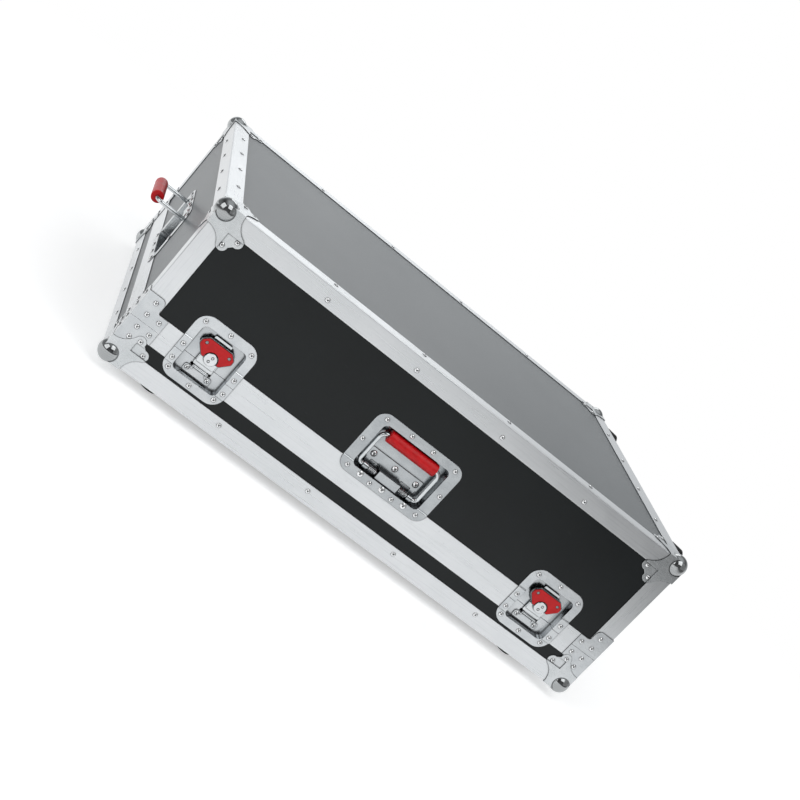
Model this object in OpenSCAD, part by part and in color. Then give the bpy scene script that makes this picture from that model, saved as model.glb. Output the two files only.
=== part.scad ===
// Flight case for a mixing desk: a shallow base and a deep hinged lid.
// Millimetres, +Z up. The front faces -Y and the feet stand on z = 0.

/* [Case] */
// Length over the edging
case_l = 1035; // [900:5:1200]
// Depth over the edging, front to back
case_w = 710; // [600:5:800]
// Height of the base, from its underside to the closing line
base_h = 88; // [86:1:120]
// Height of the lid, from the closing line to its top
lid_h = 240; // [225:5:300]
// Thickness of the laminated plywood
panel_t = 9; // [7:0.5:10]
// Thickness of the foam lining
lining_t = 20; // [16:1:30]

/* [Edging] */
// Width of each leg of the angle edging
edge_w = 35; // [32:0.5:35]
// Wall of the edging
edge_t = 1.5; // [1:0.1:2]
// Height of the closing profile on each side of the closing line
band_h = 25.5; // [24:0.5:27]
// Width of the tongue that keys the lid to the base
tongue_w = 3; // [2:0.5:4]
// Height of the tongue
tongue_h = 4; // [3:0.5:5]

/* [Corners] */
// Diameter of the ball corners
ball_d = 40; // [39.5:0.5:42]
// Distance that each ball stands out from the faces
ball_out = 8; // [7.9:0.1:8.4]
// Length of a corner plate along each edge
corner_side = 42; // [38:1:44]
// Radius of the two lobes of each corner plate
lobe_r = 10; // [8:0.5:10]
// Height of the upright leg of a closing brace
brace_h = 51; // [46:1:54]
// Length of the lying leg of a closing brace
brace_l = 55; // [50:1:60]

/* [Latches] */
// Distance from each end of the case to the middle of a latch
latch_inset = 148; // [140:1:200]
// Width of the latch dish
latch_w = 121; // [117:1:126]
// Height of the latch dish above the closing line
latch_up = 79; // [77:1:84]
// Depth of the latch recess
latch_depth = 14; // [14:0.5:16]
// Travel of the latch hook
hook_travel = 4.5; // [3:0.5:4.5]
// Diameter of the latch knob
knob_d = 23; // [21:0.5:24]

/* [Handles] */
// Width of the handle dish
handle_w = 187; // [182:1:200]
// Height of the handle dish
handle_h = 125.5; // [122:0.5:130]
// Depth of the handle recess
handle_depth = 21.5; // [21.5:0.5:26]
// Clearance between the folded grip and the end of its recess
grip_clear = 3.75; // [3.5:0.25:8]
// Diameter of the grip
grip_d = 24; // [20:0.5:24]
// Length of the grip
grip_l = 104; // [90:1:106]
// Diameter of the bail rod
bail_d = 8; // [7:0.5:8]

/* [Feet] */
// Diameter of the rubber feet
foot_d = 45; // [36:1:46]
// Height of the case above the floor
foot_h = 22; // [16:1:30]
// Height of the feet on the right end
end_foot_h = 25; // [16:1:30]

/* [Hinges] */
// Width of a hinge
hinge_w = 60; // [50:1:90]
// Diameter of a hinge pin
hinge_pin_d = 4; // [3:0.5:4.5]

/* [Hidden] */
$fn = 48;
hull_fn = 32;
overrun = 2;
fit = 0.05;
gap = 0.3;

// Edging and closing profile
edge_r = 2;
corner_cut = 7;
inner = edge_t + panel_t;
tongue_gap = 0.5;
tongue_stop = 60;
base_seat = 3;
seat_back = 2;
lid_seat = tongue_h + tongue_gap + seat_back;
inner_web_h = 16;
web_deep = inner + edge_t;
tongue_mid = web_deep / 2;

// Ball corners and closing braces
plate_t = 1.5;
lobe_near = 41;
lobe_far = 58.5;
lobe_bridge_share = 0.42;
fold_step = 1.5;
base_fold_top = 54;
corner_far = lobe_far + lobe_r + overrun;
brace_t = 1.2;
brace_leg = 34;
brace_r = 10;
brace_fillet = 5;
lid_brace_shares = [[0.37, 0.75], [0.37, 0.28], [0.81, 0.28]];
base_brace_shares = [[0.37, 0.645], [0.37, 0.235], [0.81, 0.235]];

// Rivets
rivet_d = 9;
rivet_h = 2.2;
rivet_pin_share = 0.3;
rivet_pit_share = 0.4;
ring_rivets = 4;
ring_end_x = 230;
ring_end_y = 156;
ring_line_share = 0.66;

// Pressed dishes, latch and handle
sheet = 1.2;
joggle = 2;
joggle_lead = 0.6;
slab = 0.2;
dish_clear = 0.6;
latch_down = 48;
latch_r = 25;
mouth_w = 89;
mouth_up = 60.5;
mouth_down = 32;
mouth_slant = 2;
mouth_r = 10;
latch_upper_shares = [[-0.78, 0.82], [0, 0.89], [0.78, 0.82], [-0.865, 0.16], [0.865, 0.16]];
latch_lower_shares = [[-0.865, 0.36], [0.865, 0.36], [-0.78, 0.73], [0, 0.845], [0.78, 0.73]];
handle_above = 5;
handle_r = 21;
handle_rim = 17.25;
grip_room_w = 145;
grip_room_h = handle_h - 2 * handle_rim;
grip_room_r = 10;
grip_room_slant = 2;
handle_rim_shares = [[0.26, -1.03], [-0.26, -1.03], [0.813, -0.96], [-0.813, -0.96], [0.925, 0],
    [-0.925, 0], [0.813, 0.96], [-0.813, 0.96], [0.25, 1.02], [-0.25, 1.02]];
eyelet_shares = [[-0.513, -0.96], [0, -0.96], [0.513, -0.96]];

// Latch works. Depths are measured inwards from the face of the edging.
slide_gap = 0.4;
link_float = 0.6;
link_t = 2;
link_half = 18.5;
link_waist = 12.3;
link_top = 35;
link_foot = -7.8;
link_r = 3;
link_axis_y = -11.2;
knuckle_r = 2.5;
knuckle_float = 0.2;
latch_pin_r = 1.25;
guide_t = 1.2;
guide_y = 2;
guide_h = 10;
hook_t = 2;
hook_foot = -0.5;
hook_top = 53.8;
hook_r = 2;
window_half = 14;
window_low = 44;
window_top = 49;
knob_y = 17;
knob_front = 0.2;
knob_edge = 0.8;
shaft_r = 6;
link_back = latch_depth - link_float;
link_front = link_back - link_t;
hook_back = link_front - slide_gap;
hook_front = hook_back - hook_t;
hook_half = link_half - guide_t - gap;
knob_back = hook_front - slide_gap;
link_axis_d = latch_depth - knuckle_r - knuckle_float;
ring_mark = [1.5, 4.1];
ring_mark_r = 2.7;
ring_mark_core = 1.4;
ring_mark_deep = 0.5;

// Latch wing, from its top corner down to its ear, right half
wing_axis_d = (knob_back + knob_front) / 2;
wing_t = 3.4;
wing_r = 4;
wing_gap = 0.9;
wing_half = [[16.5, 0], [29, 13.5], [29, 19.5], [21.5, 26.6]];
barrel_end = 18.5;
wing_barrel_r = 2.7;
wing_pin_r = 1.5;
cover_t = 1.8;
cover_inset = 1.6;
wing_hole = [22.9, 20];
wing_hole_r = 3.2;
wing_rivet_r = 2.4;

// Latch mount plate and keeper
mount_half = 26.6;
mount_low = -27.8;
mount_high = -14.6;
mount_r = 4;
mount_t = 1.6;
mount_rivet_x = 20.5;
mount_rivet_y = -20.6;
mount_knuckle_end = 15.4;
slot_x = 17.9;
slot_y = -10.4;
slot_s = 5.2;
keeper_half = 13;
keeper_low = 38;
keeper_top = 48.7;
keeper_t = 1.2;
keeper_lip = 2.4;

// Handle works. Heights are measured from the pivot.
pivot_d = 9;
pivot_up = 25.5;
handle_reach = handle_h - handle_rim - grip_clear - grip_d / 2 - pivot_up;
arm_half = 64;
low_bend_r = 8;
high_bend_r = 12;
stub_end = 26;
ear_r = 6;
ear_in = 44;
ear_out = 54;
ear_foot = 5.2;
bracket_t = 1.5;
bracket_half = 57;
bracket_high = 33;
bracket_low = 12;
bracket_r = 3;
tab_half = 23;
tab_front = 2.6;
tab_low = -7;
tab_back = 8.8;
big_rivet_d = 12;
big_rivet_h = 3;
big_rivet_x = 47;
grip_edge_r = 2;

// Handle springs, each one wound tube
spring_wire = 1.5;
spring_mean_r = 5.5;
spring_turns = 6;
spring_in = 27.5;
spring_out = 42.5;
spring_rings = 8;
spring_sides = 6;

// Rear hinges
leaf_t = 2;
leaf_h = 24;
leaf_knuckle_r = 3.7;
hinge_out = 4;
hinge_split_share = 0.34;
hinge_rivet_shares = [[-0.36, 0.62], [0, 0.62], [0.36, 0.62]];

// Feet
foot_taper = 2;
foot_edge = 1.5;
foot_hole_r = 7.5;
foot_floor = 6;
foot_inset_x = 110;
foot_inset_y = 73;
end_foot_in = 92;
end_foot_level = 22;
washer_r = 6.8;
washer_t = 1;
screw_r = 4.5;
screw_h = 3;
screw_slot = 1.2;

// Foam lining
lining_gap = 0.3;
lining_drop = 18;
pocket_gap = 1;

// Levels, and the middle of the case
z_low = foot_h;
z_split = z_low + base_h;
z_top = z_split + lid_h;
handle_out = handle_reach + grip_d / 2 - pivot_d;
x_mid = (handle_out - end_foot_h) / 2;
latch_x = case_l / 2 - latch_inset;
handle_z = z_split + handle_above + handle_h / 2;
pivot_y = pivot_up - handle_h / 2;
front = 0;
right = 90;
rear = 180;
left = 270;

// Half the length of a face, and its distance from the middle of the case
function face_half(turn) = turn % 180 == 0 ? case_l / 2 : case_w / 2;
function face_away(turn) = turn % 180 == 0 ? case_w / 2 : case_l / 2;

// A row of places along a face
function row(half, end) = [for (i = [0 : ring_rivets - 1]) -half + end
    + i * 2 * (half - end) / (ring_rivets - 1)];

// Outline of a convex polygon grown by r, from the middles of its rounded corners
function normal(a, b) = let (d = b - a) [d[1], -d[0]] / norm(d);
function outline(p, r) = [for (i = [0 : len(p) - 1], s = [0, 1])
    let (j = (i + 1) % len(p)) p[s == 0 ? i : j] + r * normal(p[i], p[j])];
function corners(half, low, high, r) = [[r - half, low + r], [half - r, low + r],
    [half - r, high - r], [r - half, high - r]];
function backwards(p) = [for (i = [len(p) - 1 : -1 : 0]) p[i]];

// Frames. On a face, x runs right, y up from the floor and z outwards from the edging.
module on_face(turn) {
    translate([x_mid, 0, 0])
        rotate([0, 0, turn])
            translate([0, -face_away(turn), 0])
                rotate([90, 0, 0])
                    children();
}

// At each upright corner, the case lies towards +x and +y
module each_corner() {
    for (sx = [-1, 1], sy = [-1, 1])
        translate([x_mid + sx * case_l / 2, sy * case_w / 2, 0])
            mirror([sx > 0 ? 1 : 0, 0, 0])
                mirror([0, sy > 0 ? 1 : 0, 0])
                    children();
}

// At each corner of the case, which lies towards +x, +y and +z
module each_tip(level, up) {
    each_corner()
        translate([0, 0, level])
            mirror([0, 0, up])
                children();
}

module at_latch(side) {
    on_face(front)
        translate([side * latch_x, z_split, 0])
            children();
}

module at_handle(turn) {
    on_face(turn)
        translate([0, handle_z, 0])
            children();
}

// The end handles hang from their upper side
module at_works(turn) {
    at_handle(turn)
        rotate([0, 0, turn == front ? 0 : 180])
            translate([0, pivot_y, 0])
                children();
}

module at_bail(turn, open) {
    at_works(turn)
        translate([0, 0, -pivot_d])
            rotate([open, 0, 0])
                children();
}

module at_hinge(side) {
    on_face(rear)
        translate([side * latch_x, z_split, 0])
            children();
}

// Shapes
module rounded(p, r) {
    polygon(outline(p, r));
    for (q = p)
        translate(q)
            circle(r);
}

module along_x(length) {
    rotate([90, 0, 90])
        linear_extrude(length, center = true)
            children();
}

module rod(r, length) {
    rotate([0, 90, 0])
        cylinder(r = r, h = length, center = true);
}

// Domed rivet head with the hollow of its pin, standing on z = 0
module rivet(d = rivet_d, h = rivet_h) {
    dome = (d * d / 4 + h * h) / (2 * h);
    rotate_extrude()
        difference() {
            intersection() {
                translate([0, h - dome])
                    circle(dome);
                square([d / 2, h]);
            }
            translate([0, h * (1 - rivet_pit_share)])
                square([d * rivet_pin_share / 2, h]);
        }
}

// Panels
module wall_panel(turn, low, high) {
    length = 2 * face_half(turn) - 2 * (turn % 180 == 0 ? edge_t : inner);
    on_face(turn)
        translate([-length / 2, low, -inner])
            cube([length, high - low, panel_t]);
}

module flat_panel(low) {
    size = [case_l - 2 * edge_t, case_w - 2 * edge_t, panel_t];
    translate([x_mid - size[0] / 2, -size[1] / 2, low])
        cube(size);
}

module latch_holes(deep = web_deep, grow = dish_clear) {
    half = mouth_w / 2 + sheet + grow;
    for (side = [-1, 1])
        at_latch(side)
            translate([-half, -mouth_down - sheet - grow, -deep])
                cube([2 * half, mouth_up + mouth_down + 2 * (sheet + grow), deep + overrun]);
}

module handle_hole(turn, deep = web_deep, grow = dish_clear) {
    size = [grip_room_w + 2 * (sheet + grow), grip_room_h + 2 * (sheet + grow), deep + overrun];
    at_handle(turn)
        translate([-size[0] / 2, -size[1] / 2, -deep])
            cube(size);
}

module base_wall(turn) {
    color("#26292a")
        difference() {
            wall_panel(turn, z_low + inner, z_split - base_seat);
            if (turn == front)
                latch_holes();
        }
}

module lid_wall(turn) {
    color("#26292a")
        difference() {
            wall_panel(turn, z_split + lid_seat, z_top - inner);
            if (turn == front)
                latch_holes();
            if (turn != rear)
                handle_hole(turn);
        }
}

module base_bottom_panel() {
    color("#2c2f30")
        flat_panel(z_low + edge_t);
}

module base_front_panel() {
    base_wall(front);
}

module base_rear_panel() {
    base_wall(rear);
}

module base_left_panel() {
    base_wall(left);
}

module base_right_panel() {
    base_wall(right);
}

module lid_top_panel() {
    color("#2c2f30")
        flat_panel(z_top - inner);
}

module lid_front_panel() {
    lid_wall(front);
}

module lid_rear_panel() {
    lid_wall(rear);
}

module lid_left_panel() {
    lid_wall(left);
}

module lid_right_panel() {
    lid_wall(right);
}

// Edging: an angle section with its outer corner at the origin
module angle_section() {
    difference() {
        union() {
            translate([-edge_w, -edge_t])
                square([edge_w, edge_t]);
            translate([-edge_t, -edge_w])
                square([edge_t, edge_w]);
        }
        translate([-edge_r, -edge_r])
            difference() {
                square(edge_r + overrun);
                circle(edge_r);
            }
    }
}

// A bar along x with its outer face on z = 0 and its ends mitred
module mitred(length, deep) {
    intersection() {
        along_x(length)
            children();
        rotate([90, 0, 0])
            linear_extrude(2 * case_l, center = true)
                polygon([[-length / 2 - overrun, overrun], [length / 2 + overrun, overrun],
                    [length / 2 - deep, -deep], [deep - length / 2, -deep]]);
    }
}

module edging_ring(level, down) {
    for (turn = [front, right, rear, left])
        on_face(turn)
            translate([0, level, 0])
                difference() {
                    mirror([0, down, 0])
                        mitred(2 * face_half(turn), edge_w + overrun)
                            angle_section();
                    for (side = [-1, 1])
                        translate([side * face_half(turn), 0, 0])
                            cube(2 * corner_cut, center = true);
                }
}

module corner_bars(low, high) {
    each_corner()
        translate([0, 0, low])
            linear_extrude(high - low)
                rotate(180)
                    angle_section();
}

module base_bottom_edging() {
    color("#d4d7d8")
        edging_ring(z_low, 1);
}

module lid_top_edging() {
    color("#d4d7d8")
        edging_ring(z_top, 0);
}

module base_corner_edging() {
    color("#d4d7d8")
        corner_bars(z_low + edge_w, z_split - band_h);
}

module lid_corner_edging() {
    color("#d4d7d8")
        corner_bars(z_split + band_h, z_top - edge_w);
}

// Closing profile: outer and inner webs that clasp the panel, and the seat between them
module closing_section(seat) {
    translate([0, -edge_t])
        square([band_h, edge_t]);
    translate([0, -web_deep])
        square([seat, web_deep]);
    translate([0, -web_deep])
        square([inner_web_h, edge_t]);
}

module tongue_section(grow) {
    translate([-base_seat / 2, -tongue_mid - tongue_w / 2 - grow])
        square([base_seat / 2 + tongue_h + grow, tongue_w + 2 * grow]);
}

module base_closing_frame() {
    color("#d4d7d8")
        translate([0, 0, z_split])
            difference() {
                for (turn = [front, right, rear, left])
                    on_face(turn)
                        union() {
                            mitred(2 * face_half(turn), web_deep + overrun)
                                mirror([1, 0])
                                    closing_section(base_seat);
                            if (turn != rear)
                                tongue_bar(turn);
                        }
                translate([0, 0, -z_split])
                    latch_holes();
            }
}

// The end tongues stop short of the hinge side
module tongue_bar(turn) {
    stop = turn == front ? 0 : tongue_stop;
    shift = turn == right ? -stop : stop;
    intersection() {
        mitred(2 * face_half(turn), web_deep + overrun)
            tongue_section(0);
        translate([shift, 0, 0])
            cube(2 * [face_half(turn), web_deep, 2 * web_deep], center = true);
    }
}

module lid_closing_frame() {
    color("#d4d7d8")
        translate([0, 0, z_split])
            difference() {
                for (turn = [front, right, rear, left])
                    on_face(turn)
                        mitred(2 * face_half(turn), web_deep + overrun)
                            difference() {
                                closing_section(lid_seat);
                                if (turn != rear)
                                    tongue_section(tongue_gap);
                            }
                translate([0, 0, -z_split]) {
                    latch_holes();
                    for (turn = [front, right, left])
                        handle_hole(turn);
                }
            }
}

// Ball corner: three lobed plates over the edging, joined by a ball at the tip
module corner_plate(grow = 0) {
    k = corner_side - lobe_far;
    notch = (k * k + lobe_near * lobe_near - lobe_r * lobe_r) / (2 * (lobe_r - k));
    hub = [corner_side + notch, 0];
    lobe = [lobe_far, lobe_near];
    meet = hub + (notch - grow) * (lobe - hub) / norm(lobe - hub);
    bridge = lobe_bridge_share * lobe_r * [1, 1];
    low = -plate_t;
    difference() {
        polygon([[low, low], [corner_side + grow, low], [corner_side + grow, 0], meet,
            lobe + bridge, [lobe[1], lobe[0]] + bridge, [meet[1], meet[0]],
            [0, corner_side + grow], [low, corner_side + grow]]);
        translate(hub)
            circle(notch - grow);
        translate([hub[1], hub[0]])
            circle(notch - grow);
    }
    translate(lobe)
        circle(lobe_r + grow);
    translate([lobe[1], lobe[0]])
        circle(lobe_r + grow);
}

// The three faces round a tip, each with x and y along its edges
module each_side() {
    children();
    rotate([90, 0, 90])
        children();
    rotate([90, 0, 90])
        rotate([90, 0, 90])
            children();
}

module side_slab(size, z) {
    translate([0, 0, z])
        cube([size, size, edge_t]);
}

// Edging and boards round a tip, which the ball corner must leave free
module tip_core(band) {
    difference() {
        union() {
            each_side()
                difference() {
                    cube([corner_far, corner_far, edge_t]);
                    translate([edge_w, edge_w, -overrun])
                        cube([corner_far, corner_far, edge_t + 2 * overrun]);
                }
            if (band > 0)
                translate([0, 0, band])
                    cube(corner_far);
        }
        cube(2 * corner_cut, center = true);
    }
    translate(edge_t * [1, 1, 1])
        cube(corner_far);
}

module ball_corner(band, fold_top) {
    fold = edge_w + fold_step;
    middle = ball_d / 2 - ball_out;
    difference() {
        union() {
            difference() {
                each_side()
                    translate([0, 0, -plate_t])
                        linear_extrude(plate_t + edge_t)
                            corner_plate();
                cube(2 * corner_cut, center = true);
                intersection() {
                    each_side()
                        translate([fold, fold, -plate_t - overrun])
                            cube([corner_far, corner_far, plate_t + overrun]);
                    translate([-corner_far, -corner_far, -corner_far])
                        cube([2 * corner_far, 2 * corner_far, corner_far + fold_top]
                            + [corner_far, corner_far, 0]);
                }
            }
            translate(middle * [1, 1, 1])
                sphere(d = ball_d);
        }
        tip_core(band);
    }
}

module base_ball_corners() {
    color("#b9bcbf")
        each_tip(z_low, 0)
            ball_corner(base_h - band_h, base_fold_top);
}

module lid_ball_corners() {
    color("#b9bcbf")
        each_tip(z_top, 1)
            ball_corner(0, corner_far);
}

// Closing brace: an L plate that wraps the upright corner
module brace_plan() {
    low = gap / 2;
    difference() {
        union() {
            translate([-brace_t, low])
                square([brace_leg - brace_r + brace_t, brace_h - low]);
            translate([-brace_t, low])
                square([brace_leg + brace_t, brace_h - brace_r - low]);
            translate([-brace_t, low])
                square([brace_l + brace_t, band_h - low]);
            translate([brace_leg - brace_r, brace_h - brace_r])
                circle(brace_r);
            translate([brace_leg, band_h])
                square(brace_fillet);
        }
        translate([brace_leg + brace_fillet, band_h + brace_fillet])
            circle(brace_fillet);
    }
}

module brace() {
    rotate([90, 0, 0])
        linear_extrude(brace_t)
            brace_plan();
    rotate([90, 0, 90])
        translate([0, 0, -brace_t])
            linear_extrude(brace_t)
                brace_plan();
}

module lid_corner_braces() {
    color("#c9ccce")
        each_tip(z_split, 0)
            brace();
}

module base_corner_braces() {
    color("#c9ccce")
        each_tip(z_split, 1)
            difference() {
                brace();
                translate([0, 0, base_h])
                    mirror([0, 0, 1])
                        each_side()
                            translate([0, 0, -2 * plate_t])
                                linear_extrude(2 * plate_t)
                                    corner_plate(gap);
            }
}

// Pressed dish with a rim that steps down from the closing profile to the board.
// rim and mouth hold half the width, the lower end and the upper end.
function rim_under(rim, steps) = concat(
    steps[0] > rim[1] ? [[rim[1], -edge_t], [steps[0] - joggle, -edge_t], [steps[0], 0]]
        : [[rim[1], 0]],
    [[steps[1], 0], [steps[1] + joggle, -edge_t], [rim[2], -edge_t]]);

function rim_over(rim, steps) = concat(
    steps[0] > rim[1] ? [[rim[1], sheet - edge_t],
        [steps[0] - joggle - joggle_lead, sheet - edge_t], [steps[0] - joggle_lead, sheet]]
        : [[rim[1], sheet]],
    [[steps[1] + joggle_lead, sheet], [steps[1] + joggle + joggle_lead, sheet - edge_t],
        [rim[2], sheet - edge_t]]);

module pan(mouth, r, slant, deep, wall) {
    half = mouth[0] + wall;
    low = mouth[1] - wall;
    high = mouth[2] + wall;
    hull($fn = hull_fn) {
        translate([0, 0, -deep - wall])
            linear_extrude(slab)
                rounded(corners(half - slant, low + slant, high - slant, r - slant + wall),
                    r - slant + wall, $fn = hull_fn);
        linear_extrude(sheet + overrun)
            rounded(corners(half, low, high, r + wall), r + wall, $fn = hull_fn);
    }
}

module dish(rim, rim_r, mouth, mouth_r, slant, deep, steps) {
    over = rim_over(rim, steps);
    difference() {
        union() {
            intersection() {
                along_x(2 * rim[0] + overrun)
                    polygon(concat(rim_under(rim, steps), backwards(over)));
                linear_extrude(2 * deep, center = true)
                    rounded(corners(rim[0], rim[1], rim[2], rim_r), rim_r);
            }
            intersection() {
                along_x(2 * rim[0])
                    polygon(concat([[rim[1], -2 * deep], [rim[2], -2 * deep]], backwards(over)));
                pan(mouth, mouth_r, slant, deep, sheet);
            }
        }
        pan(mouth, mouth_r, slant, deep, 0);
    }
}

module latch_dish() {
    dish([latch_w / 2, -latch_down, latch_up], latch_r, [mouth_w / 2, -mouth_down, mouth_up],
        mouth_r, mouth_slant, latch_depth, [-band_h, band_h]);
}

module latch_half(low, high) {
    intersection() {
        latch_dish();
        translate([-latch_w, low, -2 * latch_depth])
            cube([2 * latch_w, high - low, 3 * latch_depth]);
    }
}

module latch_upper_dishes() {
    color("#c4c8ca")
        for (side = [-1, 1])
            at_latch(side)
                latch_half(gap / 2, 2 * latch_up);
}

module latch_lower_dishes() {
    color("#c4c8ca")
        for (side = [-1, 1])
            at_latch(side)
                difference() {
                    latch_half(-2 * latch_down, -gap / 2);
                    for (s = [-1, 1])
                        translate([s * slot_x, slot_y, -latch_depth])
                            cube([slot_s, slot_s, 2 * (sheet + overrun)], center = true);
                }
}

module handle_dish(turn) {
    low = -handle_h / 2;
    step = low + band_h - handle_above;
    color("#c4c8ca")
        at_handle(turn)
            dish([handle_w / 2, low, -low], handle_r,
                [grip_room_w / 2, -grip_room_h / 2, grip_room_h / 2], grip_room_r,
                grip_room_slant, handle_depth, [low, step]);
}

module front_handle_dish() {
    handle_dish(front);
}

module left_handle_dish() {
    handle_dish(left);
}

module right_handle_dish() {
    handle_dish(right);
}

// Latch works
module mount_plate() {
    difference() {
        union() {
            translate([0, 0, -latch_depth])
                linear_extrude(mount_t)
                    rounded(corners(mount_half, mount_low, mount_high, mount_r), mount_r);
            for (side = [-1, 1])
                translate([side * (link_waist + gap + mount_knuckle_end) / 2, link_axis_y, 0])
                    mount_knuckle(mount_knuckle_end - link_waist - gap);
        }
        translate([0, link_axis_y, -link_axis_d])
            rod(latch_pin_r + fit, 2 * mount_half);
    }
}

module mount_knuckle(width) {
    translate([0, 0, -link_axis_d])
        rod(knuckle_r, width);
    translate([-width / 2, mount_high - link_axis_y - mount_r, -latch_depth])
        cube([width, mount_r + link_axis_y - mount_high, latch_depth - link_axis_d]);
}

module latch_mount_plates() {
    color("#bfc3c5")
        for (side = [-1, 1])
            at_latch(side)
                mount_plate();
}

module latch_hinge_pins() {
    color("#9a9da0")
        for (side = [-1, 1])
            at_latch(side)
                translate([0, link_axis_y, -link_axis_d])
                    rod(latch_pin_r, 2 * mount_knuckle_end);
}

module latch_keepers() {
    color("#bfc3c5")
        for (side = [-1, 1])
            at_latch(side) {
                translate([-keeper_half, keeper_low, -latch_depth])
                    cube([2 * keeper_half, keeper_top - keeper_low, keeper_t]);
                translate([-keeper_half, keeper_top - keeper_lip, -latch_depth])
                    cube([2 * keeper_half, keeper_lip, latch_depth - hook_back - gap]);
            }
}

module latch_link(side) {
    color("#c8cbcd")
        at_latch(side)
            difference() {
                union() {
                    translate([0, 0, -link_back])
                        linear_extrude(link_t) {
                            rounded(corners(link_half, link_foot, link_top, link_r), link_r);
                            translate([-link_waist, link_axis_y])
                                square([2 * link_waist, link_foot + link_r - link_axis_y]);
                        }
                    translate([0, link_axis_y, -link_axis_d])
                        rod(knuckle_r, 2 * link_waist);
                    for (s = [-1, 1])
                        translate([s * (link_half - guide_t / 2) - guide_t / 2, guide_y, -link_back])
                            cube([guide_t, guide_h, link_back - hook_front]);
                }
                translate([0, link_axis_y, -link_axis_d])
                    rod(latch_pin_r + fit, 2 * link_half);
                translate([0, knob_y, -latch_depth])
                    cylinder(r = shaft_r + fit, h = latch_depth);
            }
}

module latch_hook(side) {
    slot_r = shaft_r + slide_gap;
    color("#d2d5d6")
        at_latch(side)
            translate([0, 0, -hook_back])
                linear_extrude(hook_t)
                    difference() {
                        rounded(corners(hook_half, hook_foot, hook_top, hook_r), hook_r);
                        translate([0, knob_y])
                            circle(slot_r);
                        translate([0, knob_y - hook_travel])
                            circle(slot_r);
                        translate([-slot_r, knob_y - hook_travel])
                            square([2 * slot_r, hook_travel]);
                        translate([-window_half, window_low])
                            square([2 * window_half, window_top - window_low]);
                    }
}

module latch_rotor(side) {
    r = knob_d / 2;
    high = knob_back - knob_front;
    color("#dadcdd")
        at_latch(side)
            translate([0, knob_y, 0])
                difference() {
                    union() {
                        translate([0, 0, -link_back])
                            cylinder(r = shaft_r, h = link_back - knob_back);
                        translate([0, 0, -knob_back])
                            cylinder(r = r, h = high - knob_edge);
                        translate([0, 0, -knob_front - knob_edge])
                            cylinder(r1 = r, r2 = r - knob_edge, h = knob_edge);
                    }
                    translate([0, 0, -wing_axis_d])
                        rod(wing_pin_r, knob_d + overrun);
                    for (s = [-1, 1])
                        translate([s * ring_mark[0], s * ring_mark[1], -knob_front - ring_mark_deep])
                            difference() {
                                cylinder(r = ring_mark_r, h = overrun);
                                cylinder(r = ring_mark_core, h = overrun);
                            }
                }
}

module wing_pin(side) {
    color("#9a9da0")
        at_latch(side)
            translate([0, knob_y, -wing_axis_d])
                rod(wing_pin_r, 2 * barrel_end);
}

function wing_points() = concat(wing_half, [for (p = backwards(wing_half)) [-p[0], p[1]]]);

module latch_wing(side) {
    notch = knob_d / 2 + wing_gap;
    color("#c8cbcd")
        at_latch(side)
            translate([0, knob_y, -wing_axis_d])
                difference() {
                    union() {
                        linear_extrude(wing_t, center = true)
                            rounded(wing_points(), wing_r);
                        for (s = [-1, 1])
                            translate([s * (notch + barrel_end) / 2, 0, 0])
                                rod(wing_barrel_r, barrel_end - notch);
                        for (s = [-1, 1])
                            translate([s * wing_hole[0], wing_hole[1], 0])
                                cylinder(r = wing_rivet_r, h = wing_t / 2 + cover_t - gap);
                    }
                    cylinder(r = notch, h = 2 * wing_axis_d, center = true);
                    rod(wing_pin_r + fit, knob_d * 2);
                }
}

module wing_cover(side) {
    color("#c8202c")
        at_latch(side)
            translate([0, knob_y, -wing_axis_d])
                difference() {
                    translate([0, 0, wing_t / 2])
                        linear_extrude(cover_t)
                            difference() {
                                rounded(wing_points(), wing_r - cover_inset);
                                circle(knob_d / 2 + wing_gap + cover_inset / 2);
                                for (s = [-1, 1])
                                    translate([s * wing_hole[0], wing_hole[1]])
                                        circle(wing_hole_r);
                            }
                    rod(wing_barrel_r + fit, knob_d * 2);
                }
}

module left_latch_link() {
    latch_link(-1);
}

module right_latch_link() {
    latch_link(1);
}

module left_latch_hook() {
    latch_hook(-1);
}

module right_latch_hook() {
    latch_hook(1);
}

module left_latch_rotor() {
    latch_rotor(-1);
}

module right_latch_rotor() {
    latch_rotor(1);
}

module left_wing_pin() {
    wing_pin(-1);
}

module right_wing_pin() {
    wing_pin(1);
}

module left_latch_wing() {
    latch_wing(-1);
}

module right_latch_wing() {
    latch_wing(1);
}

module left_wing_cover() {
    wing_cover(-1);
}

module right_wing_cover() {
    wing_cover(1);
}

// Handle works: a bracket with two ears that carry the bail, and a tab over its middle
module bracket() {
    translate([0, 0, -handle_depth]) {
        linear_extrude(bracket_t)
            rounded(corners(bracket_half, bracket_low, bracket_high, bracket_r), bracket_r);
        translate([-tab_half, tab_back - bracket_t, 0])
            cube([2 * tab_half, bracket_low + bracket_r + bracket_t - tab_back, bracket_t]);
    }
    translate([-tab_half, tab_back - bracket_t, -handle_depth])
        cube([2 * tab_half, bracket_t, handle_depth - tab_front]);
    translate([-tab_half, tab_low, -tab_front - bracket_t])
        cube([2 * tab_half, tab_back - tab_low, bracket_t]);
    for (side = [-1, 1])
        translate([side * (ear_in + ear_out) / 2, 0, 0])
            ear(ear_out - ear_in);
}

module ear(width) {
    difference() {
        union() {
            translate([0, 0, -pivot_d])
                rod(ear_r, width);
            translate([-width / 2, -ear_foot, -handle_depth])
                cube([width, 2 * ear_foot, handle_depth - pivot_d]);
            translate([-width / 2, 0, -handle_depth])
                cube([width, bracket_low + bracket_r, bracket_t]);
        }
        translate([0, 0, -pivot_d])
            rod(bail_d / 2 + fit, 2 * width);
    }
}

module handle_brackets() {
    color("#c0c4c6")
        for (turn = [front, right, left])
            at_works(turn)
                bracket();
}

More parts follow.
